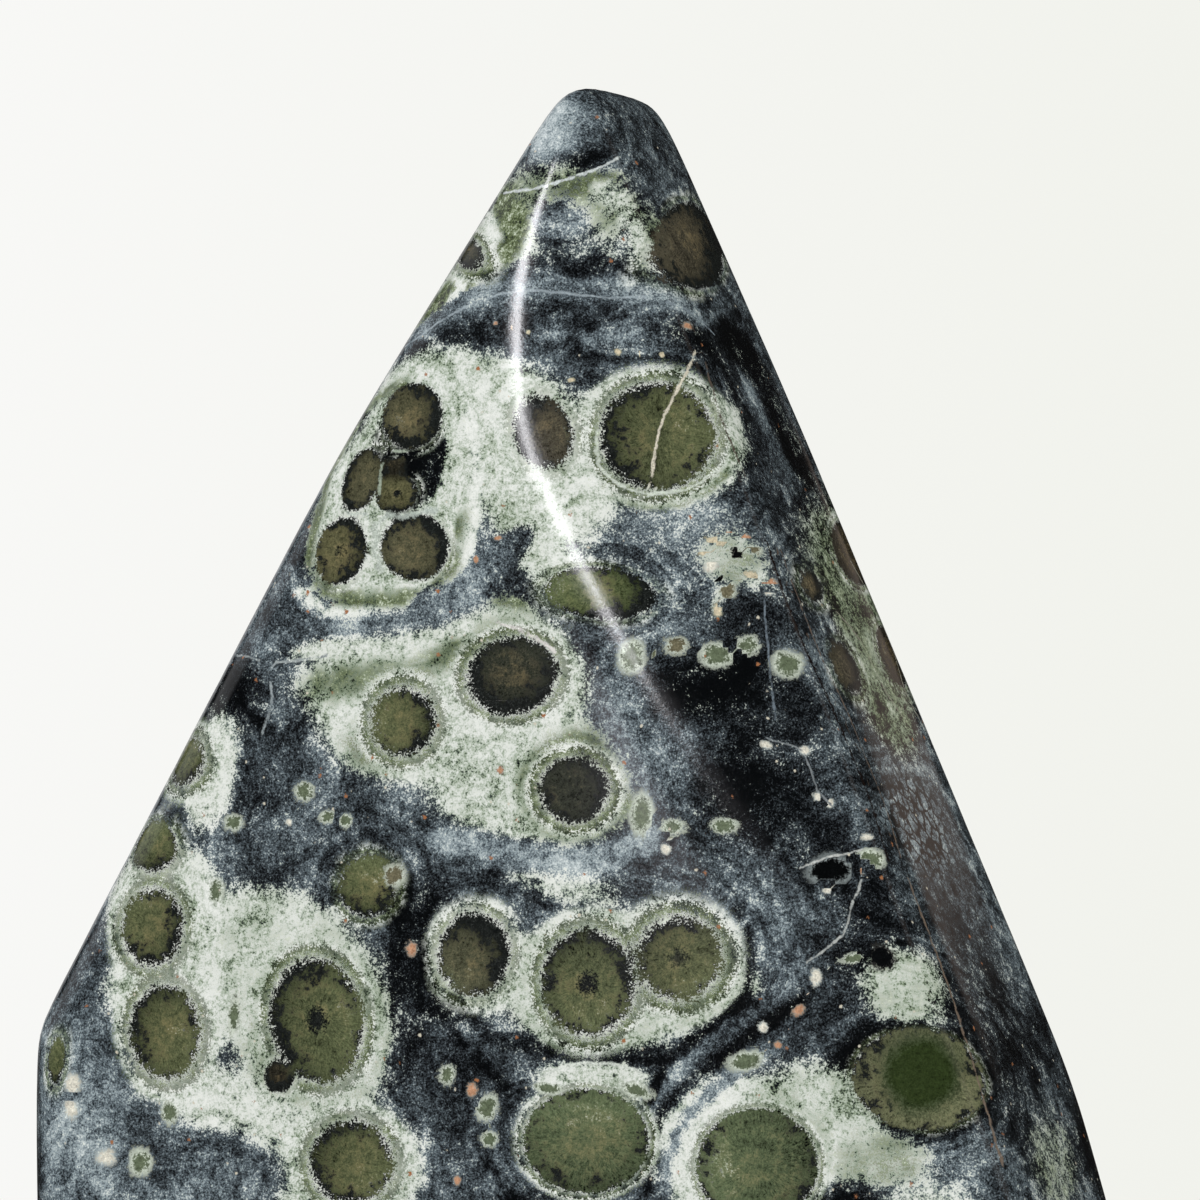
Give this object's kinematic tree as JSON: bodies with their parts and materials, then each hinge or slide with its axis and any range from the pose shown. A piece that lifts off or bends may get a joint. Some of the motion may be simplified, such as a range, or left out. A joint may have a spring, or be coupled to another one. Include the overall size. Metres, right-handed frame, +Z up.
{
  "type": "kambaba jasper standing stone",
  "caption": "Polished free-form stone that tapers from a small flat base, through a wide waist, to a blunt tip, with rounded ridges between broad facets.",
  "frame": {"origin": "middle of the base under the bounding box, at the height of the flat base", "axes": "+Z up from the base to the tip, +X to the right seen from the front, +Y from the ridged front to the back"},
  "size_m": [0.0766, 0.0552, 0.1147],
  "materials": {
    "polished_jasper": "polished to a gloss; dark slate matrix with pale mint rims and olive-green orbs"
  },
  "bodies": {
    "root": {"jasper_stone": "polished_jasper"}
  },
  "joints": []
}
